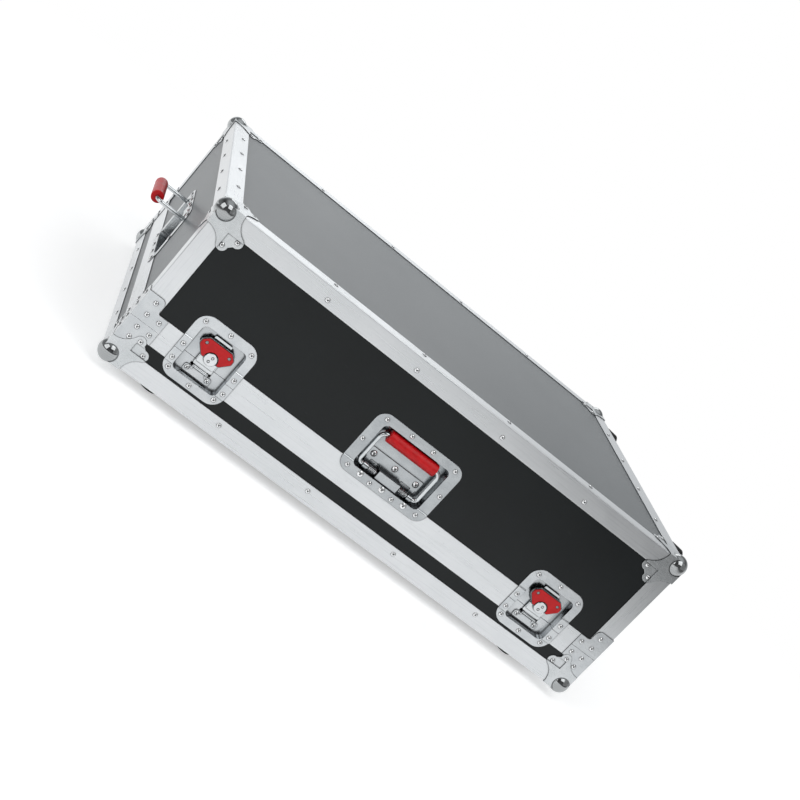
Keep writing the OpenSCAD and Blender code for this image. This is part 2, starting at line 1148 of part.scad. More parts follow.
// Bail, folded flat: the pivot lies on x and the grip bar at the reach
module quarter_bend(r) {
    rotate_extrude(angle = 90)
        translate([r, 0])
            circle(bail_d / 2);
}

module bail_bar(half, y) {
    translate([0, y, 0])
        rod(bail_d / 2, 2 * half);
}

module bail() {
    bar_half = arm_half - high_bend_r;
    stub = arm_half - low_bend_r - stub_end;
    bail_bar(bar_half, handle_reach);
    for (side = [0, 1])
        mirror([side, 0, 0]) {
            translate([bar_half, handle_reach - high_bend_r, 0])
                quarter_bend(high_bend_r);
            translate([arm_half, low_bend_r, 0])
                rotate([-90, 0, 0])
                    cylinder(d = bail_d, h = handle_reach - high_bend_r - low_bend_r);
            translate([arm_half - low_bend_r, low_bend_r, 0])
                rotate([0, 0, -90])
                    quarter_bend(low_bend_r);
            translate([stub_end + stub / 2, 0, 0])
                rod(bail_d / 2, stub);
        }
}

module grip() {
    half = grip_l / 2;
    r = grip_d / 2 - grip_edge_r;
    translate([0, handle_reach, 0])
        rotate([0, 90, 0])
            rotate_extrude()
                difference() {
                    union() {
                        translate([0, -half])
                            square([r, grip_l]);
                        translate([0, grip_edge_r - half])
                            square([grip_d / 2, grip_l - 2 * grip_edge_r]);
                        for (s = [-1, 1])
                            translate([r, s * (half - grip_edge_r)])
                                circle(grip_edge_r);
                    }
                    translate([0, -half - overrun])
                        square([bail_d / 2 + fit, grip_l + 2 * overrun]);
                }
}

module front_bail() {
    color("#d6d9da")
        at_bail(front, 0)
            bail();
}

module front_grip() {
    color("#c8202c")
        at_bail(front, 0)
            grip();
}

module left_bail() {
    color("#d6d9da")
        at_bail(left, 90)
            bail();
}

module left_grip() {
    color("#c8202c")
        at_bail(left, 90)
            grip();
}

module right_bail() {
    color("#d6d9da")
        at_bail(right, 0)
            bail();
}

module right_grip() {
    color("#c8202c")
        at_bail(right, 0)
            grip();
}

// Springs: one wound tube round each end of a bail
function spring_middle(i) = let (a = 360 * i / spring_rings, n = spring_turns * spring_rings)
    [spring_in + spring_wire / 2 + (spring_out - spring_in - spring_wire) * i / n,
        spring_mean_r * cos(a), spring_mean_r * sin(a)];

function spring_ring(i) = let (a = 360 * i / spring_rings, c = spring_middle(i))
    [for (j = [0 : spring_sides - 1]) let (p = 360 * j / spring_sides)
        c + spring_wire / 2 * [sin(p), cos(p) * cos(a), cos(p) * sin(a)]];

module spring() {
    n = spring_turns * spring_rings;
    s = spring_sides;
    polyhedron(
        points = [for (i = [0 : n], q = spring_ring(i)) q],
        faces = concat(
            [for (i = [0 : n - 1], j = [0 : s - 1]) [i * s + j, i * s + (j + 1) % s,
                (i + 1) * s + (j + 1) % s]],
            [for (i = [0 : n - 1], j = [0 : s - 1]) [i * s + j, (i + 1) * s + (j + 1) % s,
                (i + 1) * s + j]],
            [[for (j = [s - 1 : -1 : 0]) j]],
            [[for (j = [0 : s - 1]) n * s + j]]));
}

spring_least_gap = min([for (i = [0 : spring_rings * (spring_turns - 1)], a = spring_ring(i),
    b = spring_ring(i + spring_rings)) norm(a - b)]);
echo(spring_least_gap = spring_least_gap);

module handle_springs() {
    color("#8c8f92")
        for (turn = [front, right, left], side = [0, 1])
            at_works(turn)
                mirror([side, 0, 0])
                    translate([0, 0, -pivot_d])
                        spring();
}

// Rear hinges: the lid's knuckle lies between two of the base's
function knuckle_half() = hinge_w * hinge_split_share / 2;

module hinge_leaf(up, own_low, own_high, other_low, other_high) {
    difference() {
        union() {
            translate([-hinge_w / 2, up > 0 ? gap / 2 : -leaf_h, 0])
                cube([hinge_w, leaf_h - gap / 2, leaf_t]);
            for (s = [-1, 1])
                translate([s * (own_low + own_high) / 2, 0, hinge_out])
                    rod(leaf_knuckle_r, own_high - own_low);
        }
        for (s = [-1, 1])
            translate([s * (other_low + other_high) / 2, 0, hinge_out])
                rod(leaf_knuckle_r + gap, other_high - other_low);
        translate([0, 0, hinge_out])
            rod(hinge_pin_d / 2 + fit, 2 * hinge_w);
    }
}

module hinge_base_leaves() {
    k = knuckle_half();
    color("#b4b8ba")
        for (side = [-1, 1])
            at_hinge(side)
                hinge_leaf(-1, k + gap, hinge_w / 2, 0, k + gap);
}

module hinge_lid_leaves() {
    k = knuckle_half();
    color("#b4b8ba")
        for (side = [-1, 1])
            at_hinge(side)
                hinge_leaf(1, 0, k, k, hinge_w / 2 + overrun);
}

module hinge_pins() {
    color("#8f9294")
        for (side = [-1, 1])
            at_hinge(side)
                translate([0, 0, hinge_out])
                    rod(hinge_pin_d / 2, hinge_w);
}

// Rubber foot on z = 0, with a hole for its screw
module foot(high) {
    r = foot_d / 2;
    tip = r - foot_taper;
    rotate_extrude()
        polygon([[0, 0], [r, 0], [tip, high - foot_edge], [tip - foot_edge, high],
            [foot_hole_r, high], [foot_hole_r, foot_floor], [0, foot_floor]]);
}

module foot_screw() {
    translate([0, 0, foot_floor]) {
        cylinder(r = washer_r, h = washer_t);
        translate([0, 0, washer_t])
            difference() {
                cylinder(r = screw_r, h = screw_h);
                translate([-screw_r, -screw_slot / 2, screw_h / 2])
                    cube([2 * screw_r, screw_slot, screw_h]);
            }
    }
}

module each_floor_foot() {
    for (sx = [-1, 1], sy = [-1, 1])
        translate([x_mid + sx * (case_l / 2 - foot_inset_x), sy * (case_w / 2 - foot_inset_y),
            z_low + edge_t])
            mirror([0, 0, 1])
                children();
}

module each_end_foot(level) {
    for (side = [-1, 1])
        on_face(right)
            translate([side * (case_w / 2 - end_foot_in), level, 0])
                children();
}

module rubber_feet() {
    color("#1b1c1d") {
        each_floor_foot()
            foot(foot_h + edge_t);
        each_end_foot(z_low + end_foot_level)
            foot(end_foot_h);
    }
}

module lid_end_feet() {
    color("#1b1c1d")
        each_end_foot(z_top - end_foot_level)
            foot(end_foot_h);
}

module foot_screws() {
    color("#a9acae") {
        each_floor_foot()
            foot_screw();
        each_end_foot(z_low + end_foot_level)
            foot_screw();
    }
}

module lid_foot_screws() {
    color("#a9acae")
        each_end_foot(z_top - end_foot_level)
            foot_screw();
}

// Foam lining: strips along the walls and a pad between them, each a slab of its own
module lining_pad(low) {
    edge = inner + lining_t + lining_gap;
    size = [case_l - 2 * edge, case_w - 2 * edge, lining_t];
    translate([x_mid - size[0] / 2, -size[1] / 2, low])
        cube(size);
}

module lining_strips(low, high) {
    for (turn = [front, right, rear, left]) {
        length = 2 * face_half(turn) - 2 * inner
            - (turn % 180 == 0 ? 0 : 2 * (lining_t + lining_gap));
        on_face(turn)
            translate([-length / 2, low, -inner - lining_t])
                cube([length, high - low, lining_t]);
    }
}

// A handle's pocket is open below, and thin cuts part the strip round it into plain blocks
module handle_pocket(turn) {
    half = grip_room_w / 2 + sheet + pocket_gap;
    top = grip_room_h / 2 + sheet + pocket_gap + lining_gap;
    back = inner + lining_t + overrun;
    at_handle(turn) {
        translate([-half, -lid_h, -handle_depth - sheet])
            cube([2 * half, lid_h + top, handle_depth]);
        translate([-half, top - lining_gap, -back])
            cube([2 * half, lining_gap, back]);
        for (x = [-half, half - lining_gap])
            translate([x, -lid_h, -back])
                cube([lining_gap, 2 * lid_h, back]);
    }
}

module base_lining() {
    color("#3a3c3e") {
        lining_pad(z_low + inner);
        difference() {
            lining_strips(z_low + inner, z_split - lining_drop);
            latch_holes(latch_depth + sheet + pocket_gap, pocket_gap);
        }
    }
}

module lid_lining() {
    color("#3a3c3e") {
        lining_pad(z_top - inner - lining_t);
        difference() {
            lining_strips(z_split + lining_drop, z_top - inner);
            latch_holes(latch_depth + sheet + pocket_gap, pocket_gap);
            for (turn = [front, right, left])
                handle_pocket(turn);
        }
    }
}

// Rivets
module ring_row(level, line, lean) {
    for (turn = [front, right, rear, left])
        on_face(turn)
            for (x = row(face_half(turn), turn % 180 == 0 ? ring_end_x : ring_end_y)) {
                translate([x, level - lean * line, 0])
                    rivet();
                translate([x, level, -line])
                    rotate([-90 * lean, 0, 0])
                        rivet();
            }
}

// Places on the corner plates; high lobes of the base lie on the closing profile
module lobe_rivets(fold_top) {
    rotate_down = [180, 0, 0];
    for (p = [[lobe_far, lobe_near], [lobe_near, lobe_far]]) {
        translate([p[0], p[1], 0])
            rotate(rotate_down)
                rivet();
        rotate([90, 0, 90])
            translate([p[0], p[1], p[1] > fold_top ? -plate_t : 0])
                rotate(rotate_down)
                    rivet();
        rotate([90, 0, 90])
            rotate([90, 0, 90])
                translate([p[0], p[1], p[0] > fold_top ? -plate_t : 0])
                    rotate(rotate_down)
                        rivet();
    }
}

module brace_rivets(shares) {
    for (q = shares) {
        translate([q[0] * brace_l, -brace_t, q[1] * brace_h])
            rotate([90, 0, 0])
                rivet();
        translate([-brace_t, q[0] * brace_l, q[1] * brace_h])
            rotate([0, -90, 0])
                rivet();
    }
}

module latch_rivets(shares, high) {
    for (side = [-1, 1], q = shares)
        at_latch(side)
            let (y = q[1] * high)
                translate([q[0] * latch_w / 2, y, abs(y) > band_h ? sheet - edge_t : sheet])
                    rivet();
}

module handle_rivets(turn) {
    step = -handle_h / 2 + band_h - handle_above;
    line = (handle_h - handle_rim) / 2;
    flip = turn == front ? 1 : -1;
    at_handle(turn) {
        for (q = handle_rim_shares)
            let (y = flip * q[1] * line)
                translate([q[0] * handle_w / 2, y, y > step ? sheet - edge_t : sheet])
                    rivet();
        for (q = eyelet_shares)
            let (y = flip * q[1] * line)
                translate([q[0] * handle_w / 2, y, y > step ? sheet - edge_t : sheet])
                    rivet(big_rivet_d, rivet_h);
    }
    at_works(turn)
        for (x = big_rivet_x * [-1, 0, 1])
            translate([x, (bracket_low + bracket_high) / 2, bracket_t - handle_depth])
                rivet(big_rivet_d, big_rivet_h);
}

module hinge_rivets(up) {
    for (side = [-1, 1], q = hinge_rivet_shares)
        at_hinge(side)
            translate([q[0] * hinge_w, up * q[1] * leaf_h, leaf_t])
                rivet();
}

module base_rivets() {
    color("#e1e3e4") {
        ring_row(z_low, ring_line_share * edge_w, -1);
        each_tip(z_low, 0)
            lobe_rivets(base_fold_top);
        each_tip(z_split, 1)
            brace_rivets(base_brace_shares);
        latch_rivets(latch_lower_shares, -latch_down);
        for (side = [-1, 1], s = [-1, 1])
            at_latch(side)
                translate([s * mount_rivet_x, mount_rivet_y, mount_t - latch_depth])
                    rivet();
        hinge_rivets(-1);
    }
}

module lid_rivets() {
    color("#e1e3e4") {
        ring_row(z_top, ring_line_share * edge_w, 1);
        each_tip(z_top, 1)
            lobe_rivets(corner_far);
        each_tip(z_split, 0)
            brace_rivets(lid_brace_shares);
        latch_rivets(latch_upper_shares, latch_up);
        for (turn = [front, right, left])
            handle_rivets(turn);
        hinge_rivets(1);
    }
}

base_bottom_panel();
base_front_panel();
base_rear_panel();
base_left_panel();
base_right_panel();
base_closing_frame();
base_bottom_edging();
base_corner_edging();
base_ball_corners();
base_corner_braces();
base_lining();
base_rivets();
latch_lower_dishes();
latch_mount_plates();
latch_hinge_pins();
hinge_base_leaves();
hinge_pins();
rubber_feet();
foot_screws();
lid_top_panel();
lid_front_panel();
lid_rear_panel();
lid_left_panel();
lid_right_panel();
lid_closing_frame();
lid_top_edging();
lid_corner_edging();
lid_ball_corners();
lid_corner_braces();
lid_lining();
lid_rivets();
latch_upper_dishes();
latch_keepers();
hinge_lid_leaves();
lid_end_feet();
lid_foot_screws();
front_handle_dish();
left_handle_dish();
right_handle_dish();
handle_brackets();
handle_springs();
front_bail();
front_grip();
left_bail();
left_grip();
right_bail();
right_grip();
left_latch_link();
left_latch_hook();
left_latch_rotor();
left_wing_pin();
left_latch_wing();
left_wing_cover();
right_latch_link();
right_latch_hook();
right_latch_rotor();
right_wing_pin();
right_latch_wing();
right_wing_cover();
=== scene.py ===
import math

import bmesh
import bpy
from mathutils import Matrix, Vector


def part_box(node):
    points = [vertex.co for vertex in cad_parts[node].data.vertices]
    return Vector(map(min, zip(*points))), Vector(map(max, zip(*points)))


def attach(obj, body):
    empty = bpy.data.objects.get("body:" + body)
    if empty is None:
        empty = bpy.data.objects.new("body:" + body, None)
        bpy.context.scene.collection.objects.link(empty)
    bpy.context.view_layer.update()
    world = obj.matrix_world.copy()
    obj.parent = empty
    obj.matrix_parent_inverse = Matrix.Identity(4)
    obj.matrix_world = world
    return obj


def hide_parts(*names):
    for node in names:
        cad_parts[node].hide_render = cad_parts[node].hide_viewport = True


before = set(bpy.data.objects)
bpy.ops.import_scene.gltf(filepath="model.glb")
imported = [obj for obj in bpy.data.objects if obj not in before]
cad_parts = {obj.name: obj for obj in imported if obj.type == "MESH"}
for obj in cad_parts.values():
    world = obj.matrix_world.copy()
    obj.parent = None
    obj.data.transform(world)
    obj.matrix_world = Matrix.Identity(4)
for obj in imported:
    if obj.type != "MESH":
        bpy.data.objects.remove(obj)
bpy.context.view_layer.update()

# All lengths are in metres. BALL_R is the ball corners' radius in part.scad.
BALL_R = 0.020

# Camera: place, turn and lens come from a fit on seven corner balls and three corners of the
# front in the photograph, 800 pixels wide, for a case 710 mm deep and a shift of at most 0.06.
PIXELS = 800
EYE = Vector((-0.7727, -2.5309, 0.8138))
YAW, PITCH, ROLL = (math.radians(angle) for angle in (15.31, 13.22, 41.53))
FOCAL_PIXELS = 1416.1
SENSOR = 36
SHIFT = 0.06

# How far the nodes of painted shade look in hollows, folds and at rivet feet, how wide the
# painted rims on edges are, and the samples of these nodes
HOLLOW_REACH = 0.02
FOLD_REACH = 0.0035
RIVET_REACH = 0.004
PAINTED_RIM_REACH = 0.0007
OCCLUSION_SAMPLES = 8
BEVEL_SAMPLES = 6

# Noise scales along and across a bar of drawn aluminium: coarse lines, then fine ones
COARSE_LINES = (10, 420)
FINE_LINES = (30, 1500)

# Foam slabs: their soft edges, and the angles in radians that tell flat joints from real edges
FOAM_EDGE = 0.003
FOAM_STEPS = 3
SAME_POINT = 1e-6
FLAT_ANGLE = 0.01
SHARP_ANGLE = 0.5

# Floor: pale near the object and white further off. In reflections, its far corners right and
# left of the photographer lie in the dark of the room. Pairs run from no effect to full effect.
FLOOR_HALF = 30
FLOOR_FADE = (0.9, 2.2)
FLOOR_PALE = (0.8, 0.8, 0.8, 1)
FLOOR_DARK = (0.1, 0.1, 0.1, 1)
FLOOR_GLOW = 0.45
RIGHT_CORNER_X, RIGHT_CORNER_Y = (0.5, 1.3), (-0.35, -0.9)
LEFT_CORNER_X, LEFT_CORNER_Y = (-0.9, -1.5), (0.8, 0.2)
CORNER_STRENGTH = 0.2

# World: strengths, where 1 is white, over parts x (right), y (back) and z (up) of the direction.
# Reflections show a white backdrop that falls off on both sides, a dim ceiling with a paler
# middle, and the dark room behind the photographer. Fours are from, to, and the strengths there.
CEILING_DIM = (0.25, 0.6, 1.0, 0.32)
CEILING_MIDDLE = (0.75, 0.95, 0.0, 0.4)
RIGHT_FALL = (0.2, 0.7, 1.0, 0.6)
LEFT_FALL = (-0.3, -0.7, 1.0, 0.3)
ROOM_Y, ROOM_Z = (0.0, -0.4), (0.8, 0.5)
ROOM_STRENGTH = 0.15
PLAIN_STRENGTH = 0.55
SHOWN_COLOR = (1, 1, 1, 1)
LIGHT_COLOR = (0.965, 0.985, 1, 1)

# Square lamps, turned to the middle of the case: place, side, and power in watts
TARGET = Vector((0.0, 0.0, 0.18))
LAMPS = {
    "key": ((-3.0, -2.2, 1.6), 2.6, 36),
    "overhead": ((0.5, -2.4, 3.1), 2.4, 30),
    "fill": ((2.6, -2.2, 1.8), 3.0, 8),
    "rear": ((0.4, 3.0, 2.6), 1.8, 16),
    "low": ((-0.1, 3.0, 0.95), 1.0, 0.3),
}


def add(name, data):
    made = bpy.data.objects.new(name, data)
    bpy.context.scene.collection.objects.link(made)
    return made


def add_camera():
    camera = bpy.data.cameras.new("camera")
    camera.sensor_width = SENSOR
    camera.lens = FOCAL_PIXELS / PIXELS * SENSOR
    camera.shift_x, camera.shift_y = SHIFT, -SHIFT
    made = add("camera", camera)
    bpy.context.scene.camera = made
    look = Vector((math.sin(YAW) * math.cos(PITCH), math.cos(YAW) * math.cos(PITCH),
                   -math.sin(PITCH)))
    level = Vector((math.cos(YAW), -math.sin(YAW), 0))
    upright = level.cross(look)
    right = level * math.cos(ROLL) + upright * math.sin(ROLL)
    up = upright * math.cos(ROLL) - level * math.sin(ROLL)
    turn = Matrix((right, up, -look)).transposed()
    made.matrix_world = Matrix.Translation(EYE) @ turn.to_4x4()


class Nodes:
    """Short calls that add nodes to one node tree."""

    def __init__(self, tree):
        self.tree = tree

    def node(self, kind, **settings):
        made = self.tree.nodes.new(kind)
        for key, value in settings.items():
            setattr(made, key, value)
        return made

    def put(self, socket, value):
        if isinstance(value, bpy.types.NodeSocket):
            self.tree.links.new(value, socket)
        else:
            socket.default_value = value

    def wired(self, kind, *values, **settings):
        """A new node with its first inputs filled in order. Gives its outputs."""
        made = self.node(kind, **settings)
        for socket, value in zip(made.inputs, values):
            self.put(socket, value)
        return made.outputs

    def math(self, operation, *values):
        return self.wired("ShaderNodeMath", *values, operation=operation)[0]

    def plus(self, first, second):
        return self.math("ADD", first, second)

    def minus(self, first, second):
        return self.math("SUBTRACT", first, second)

    def times(self, first, second):
        return self.math("MULTIPLY", first, second)

    def absolute(self, value):
        return self.math("ABSOLUTE", value)

    def span(self, value, low, high, to_low=0.0, to_high=1.0):
        """The range low to high carried over to to_low to to_high, and held beyond its ends."""
        return self.wired("ShaderNodeMapRange", value, low, high, to_low, to_high)[0]

    def spread(self, noise, to_low=0.0, to_high=1.0):
        """A noise's usual range carried over to to_low to to_high."""
        return self.span(noise, 0.3, 0.7, to_low, to_high)

    def specks(self, noise, share):
        """share on a noise's high spots, else 0."""
        return self.span(noise, 0.62, 0.8, 0, share)

    def split(self, vector):
        parts = self.wired("ShaderNodeSeparateXYZ", vector)
        return parts[0], parts[1], parts[2]

    def blend(self, share, first, second):
        made = self.node("ShaderNodeMix", data_type="RGBA")
        for place, value in ((0, share), (6, first), (7, second)):
            self.put(made.inputs[place], value)
        return made.outputs[2]

    def glow(self, strength):
        made = self.node("ShaderNodeEmission")
        self.put(made.inputs["Strength"], strength)
        return made.outputs[0]

    def seen(self):
        """1 for camera, glossy and transmission rays."""
        path = self.node("ShaderNodeLightPath").outputs
        either = self.math("MAXIMUM", path["Is Camera Ray"], path["Is Glossy Ray"])
        return self.math("MAXIMUM", either, path["Is Transmission Ray"])


class Shade(Nodes):
    """A procedural material with one Principled shader."""

    def __init__(self, name, **values):
        self.mat = bpy.data.materials.new(name)
        self.mat.use_nodes = True
        super().__init__(self.mat.node_tree)
        self.bsdf = self.tree.nodes["Principled BSDF"]
        self.coords = self.node("ShaderNodeTexCoord").outputs["Object"]
        for key, value in values.items():
            self.bsdf.inputs[key.replace("_", " ")].default_value = value

    def stretch(self, scale):
        made = self.node("ShaderNodeMapping")
        self.put(made.inputs["Vector"], self.coords)
        made.inputs["Scale"].default_value = scale
        return made.outputs[0]

    def noise(self, scale, detail=3.0, rough=0.55, source=None):
        made = self.node("ShaderNodeTexNoise")
        self.put(made.inputs["Vector"], source or self.coords)
        for key, value in (("Scale", scale), ("Detail", detail), ("Roughness", rough)):
            made.inputs[key].default_value = value
        return made.outputs["Fac"]

    def cells(self, scale):
        made = self.node("ShaderNodeTexVoronoi")
        self.put(made.inputs["Vector"], self.coords)
        made.inputs["Scale"].default_value = scale
        return made.outputs["Distance"]

    def open_share(self, distance):
        """1 on open faces, lower in hollows and along inner corners."""
        made = self.node("ShaderNodeAmbientOcclusion", samples=OCCLUSION_SAMPLES)
        made.inputs["Distance"].default_value = distance
        return made.outputs["AO"]

    def rounded(self, radius):
        """The surface's direction, with its edges rounded off."""
        made = self.node("ShaderNodeBevel", samples=BEVEL_SAMPLES)
        made.inputs["Radius"].default_value = radius
        return made.outputs[0]

    def rims(self):
        """1 on outer and inner edges, 0 on flat faces."""
        normal = self.node("ShaderNodeNewGeometry").outputs["Normal"]
        dot = self.wired("ShaderNodeVectorMath", self.rounded(PAINTED_RIM_REACH), normal,
                         operation="DOT_PRODUCT")["Value"]
        return self.span(self.minus(1.0, dot), 0.03, 0.2)

    def finish(self, color, rough, heights, bevel=0.0):
        """heights are pairs of a noise and the depth of its bumps."""
        self.put(self.bsdf.inputs["Base Color"], color)
        self.put(self.bsdf.inputs["Roughness"], rough)
        normal = self.rounded(bevel) if bevel else None
        for height, distance in heights:
            made = self.node("ShaderNodeBump")
            made.inputs["Distance"].default_value = distance
            self.put(made.inputs["Height"], height)
            if normal:
                self.put(made.inputs["Normal"], normal)
            normal = made.outputs[0]
        self.put(self.bsdf.inputs["Normal"], normal)
        return self.mat


def rgb(*screen):
    """A colour written as on screen, 0 to 255, turned into the shader's linear numbers."""
    linear = (((c / 255 + 0.055) / 1.055) ** 2.4 if c > 10 else c / 3294 for c in screen)
    return (*linear, 1.0)


def laminate():
    s = Shade("laminate", Specular_IOR_Level=0.25, Sheen_Weight=0.3, Sheen_Roughness=0.35,
              Sheen_Tint=(0.86, 0.94, 1.0, 1.0))
    grain = s.cells(1500)
    cloudy = s.noise(6, 4)
    fine = s.noise(900, 2)
    scuff = s.span(s.noise(1, 5, 0.7, s.stretch((14, 14, 90))), 0.66, 0.72)
    color = s.blend(s.span(cloudy, 0.35, 0.7), rgb(14, 17, 18), rgb(19, 23, 24))
    color = s.blend(s.span(fine, 0.35, 0.7, 0, 0.35), color, rgb(34, 38, 39))
    color = s.blend(s.times(scuff, 0.08), color, rgb(90, 94, 95))
    rough = s.spread(cloudy, 0.29, 0.31)
    return s.finish(color, rough, [(grain, 0.00005), (fine, 0.00003)], bevel=0.0006)


def mitred(s):
    """0 on a ring's bars along x and 1 on those along y, split at the mitres, and their seams."""
    low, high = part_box("base_bottom_edging")
    middle_x = (low[0] + high[0]) / 2
    x, y, _ = s.split(s.coords)
    to_end = s.minus((high[0] - low[0]) / 2, s.absolute(s.minus(x, middle_x)))
    to_side = s.minus((high[1] - low[1]) / 2, s.absolute(y))
    lead = s.minus(to_side, to_end)
    seams = s.span(s.absolute(lead), 0.0002, 0.0005, 1, 0)
    return s.math("GREATER_THAN", lead, 0.0), seams


def drawn(s, scales, along_y=None):
    """Lines drawn along each bar: upright, or along x, and along y where along_y is 1."""
    along, across = scales
    if along_y is None:
        return s.noise(1, 3, 0.6, s.stretch((across, across, along)))
    by_x = s.noise(1, 3, 0.6, s.stretch((along, across, across)))
    by_y = s.noise(1, 3, 0.6, s.stretch((across, along, across)))
    return s.plus(s.times(by_y, along_y), s.times(by_x, s.minus(1.0, along_y)))


def lined(s, color, darkness=0.75, rim=(0.6, rgb(244, 246, 247)), hollow=0.0, reach=(0.7, 0.93)):
    """Painted shade in folds, seams and hollows, and painted highlights and reflections on edges.

    The edge rims take the share and colour given: a light colour paints a highlight, a dark one
    a painted reflection. Hollows take the share of painted shade given, and reach is the open
    share at which a fold's painted shade is full and at which it ends.
    """
    if hollow:
        # Painted shade, a dull grey, in hollows
        painted_shade = s.span(s.open_share(HOLLOW_REACH), 0.35, 0.95, hollow, 0)
        color = s.blend(painted_shade, color, rgb(96, 100, 103))
    # Painted shade, near black, in folds and where pieces meet
    fold_shade = s.span(s.open_share(FOLD_REACH), *reach, darkness, 0)
    # Painted rims on edges: light ones are painted highlights, dark ones painted reflections
    color = s.blend(s.times(s.rims(), rim[0]), color, rim[1])
    return s.blend(fold_shade, color, rgb(38, 40, 42))


def aluminium(name, upright=False):
    s = Shade(name, Metallic=1.0)
    along_y, seams = (None, None) if upright else mitred(s)
    lines = drawn(s, COARSE_LINES, along_y)
    fine = drawn(s, FINE_LINES, along_y)
    cloudy = s.noise(7, 4, 0.6)
    spots = s.span(s.noise(160, 3), 0.66, 0.78)
    color = s.blend(s.spread(cloudy), rgb(213, 216, 218), rgb(225, 227, 229))
    color = s.blend(s.span(lines, 0.3, 0.5, 0.22, 0), color, rgb(168, 172, 175))
    color = s.blend(s.specks(fine, 0.25), color, rgb(240, 242, 243))
    color = s.blend(s.times(spots, 0.14), color, rgb(120, 124, 126))
    if seams:
        color = s.blend(seams, color, rgb(70, 72, 74))
    # Painted shade in folds and where pieces meet, and painted highlights on edges
    color = lined(s, color)
    rough = s.plus(s.spread(lines, 0.24, 0.32), s.spread(cloudy, 0, 0.05))
    return s.finish(color, rough, [(lines, 0.00003), (fine, 0.00001)], bevel=0.0008)


def steel(s, light, dark, scratches=0.0):
    """Plated steel's cloudy and fine noises, and its colour with specks and scratches."""
    cloudy = s.noise(28, 4, 0.6)
    fine = s.noise(420, 3)
    color = s.blend(s.span(cloudy, 0.32, 0.68), dark, light)
    if scratches:
        scratch = s.span(s.noise(1, 4, 0.65, s.stretch((900, 60, 900))), 0.64, 0.70)
        color = s.blend(s.times(scratch, scratches), color, rgb(236, 238, 240))
    return cloudy, fine, s.blend(s.specks(fine, 0.08), color, rgb(110, 113, 116))


def plated(name, light, dark, rough, bevel, wavy=0.0006, **edges):
    """Plated steel. rough is a range, wavy the depth of its waves, edges are lined's values."""
    s = Shade(name, Metallic=1.0)
    cloudy, fine, color = steel(s, light, dark, scratches=0.25)
    # Painted shade in folds, seams and hollows, and painted rims on edges
    color = lined(s, color, **edges)
    rough = s.plus(s.spread(cloudy, *rough), s.spread(fine, 0, 0.05))
    return s.finish(color, rough, [(cloudy, wavy), (fine, 0.00002)], bevel)


def ball_corner(name, node, on_top):
    """One node's four chromed balls, on plates about as bright as the dishes."""
    s = Shade(name, Metallic=1.0)
    low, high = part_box(node)
    center = [(low[i] + high[i]) / 2 for i in range(2)]
    half = [(high[i] - low[i]) / 2 - BALL_R for i in range(2)]
    level = high[2] - BALL_R if on_top else low[2] + BALL_R
    place = s.split(s.coords)
    apart = [s.minus(s.absolute(s.minus(place[i], center[i])), half[i]) for i in range(2)]
    apart.append(s.minus(place[2], level))
    across, back, rise = (s.times(a, a) for a in apart)
    away = s.math("SQRT", s.plus(s.plus(across, back), rise))
    ball_end = BALL_R + 0.0008
    plate = s.span(away, BALL_R + 0.0002, ball_end)
    # Painted shade: a near-black ring round the foot of each ball, where it meets its plate
    foot_shade = s.span(s.absolute(s.minus(away, ball_end)), 0.0004, 0.0012, 1, 0)
    cloudy, fine, color = steel(s, rgb(210, 213, 215), rgb(196, 200, 202))
    # The plates get lined's painted shade and painted rims, the balls their own colour
    color = s.blend(plate, rgb(204, 207, 208), lined(s, color))
    color = s.blend(s.times(foot_shade, 0.8), color, rgb(30, 32, 34))
    rough = s.plus(s.span(plate, 0, 1, 0.07, 0.26), s.spread(fine, 0, 0.04))
    return s.finish(color, rough, [(s.times(cloudy, plate), 0.0006)], bevel=0.0008)


def rivet_metal():
    s = Shade("rivet_metal", Metallic=1.0)
    fine = s.noise(700, 3)
    # Painted shade and painted reflection: near black in each rivet's pit and round its foot
    painted_shade = s.span(s.open_share(RIVET_REACH), 0.87, 0.965, 1, 0)
    color = s.blend(s.spread(fine), rgb(236, 238, 239), rgb(246, 247, 248))
    color = s.blend(painted_shade, color, rgb(16, 15, 15))
    return s.finish(color, s.spread(fine, 0.22, 0.3), [(fine, 0.00003)], bevel=0.0003)


def red(name, low, high, rough, grain):
    s = Shade(name, Specular_IOR_Level=0.35)
    cloudy = s.noise(70, 4)
    fine = s.cells(1300)
    worn = s.span(s.noise(300, 3), 0.64, 0.78)
    color = s.blend(s.spread(cloudy), low, high)
    color = s.blend(s.times(worn, 0.18), color, rgb(226, 80, 72))
    return s.finish(color, s.spread(cloudy, rough, rough + 0.12), [(fine, grain)], bevel=0.0008)


def rubber():
    s = Shade("rubber", Specular_IOR_Level=0.35)
    cloudy = s.noise(60, 4)
    fine = s.noise(1400, 2)
    color = s.blend(s.span(cloudy, 0.3, 0.75), rgb(20, 20, 21), rgb(38, 38, 39))
    return s.finish(color, s.spread(cloudy, 0.62, 0.8), [(fine, 0.00008)], bevel=0.001)


def foam():
    s = Shade("foam", Specular_IOR_Level=0.15, Sheen_Weight=0.15, Sheen_Roughness=0.6)
    cell = s.cells(650)
    fine = s.noise(1800, 2)
    color = s.blend(s.span(cell, 0.1, 0.6), rgb(22, 23, 24), rgb(46, 47, 49))
    return s.finish(color, s.spread(fine, 0.85, 0.97), [(cell, 0.0004), (fine, 0.0001)])


add_camera()

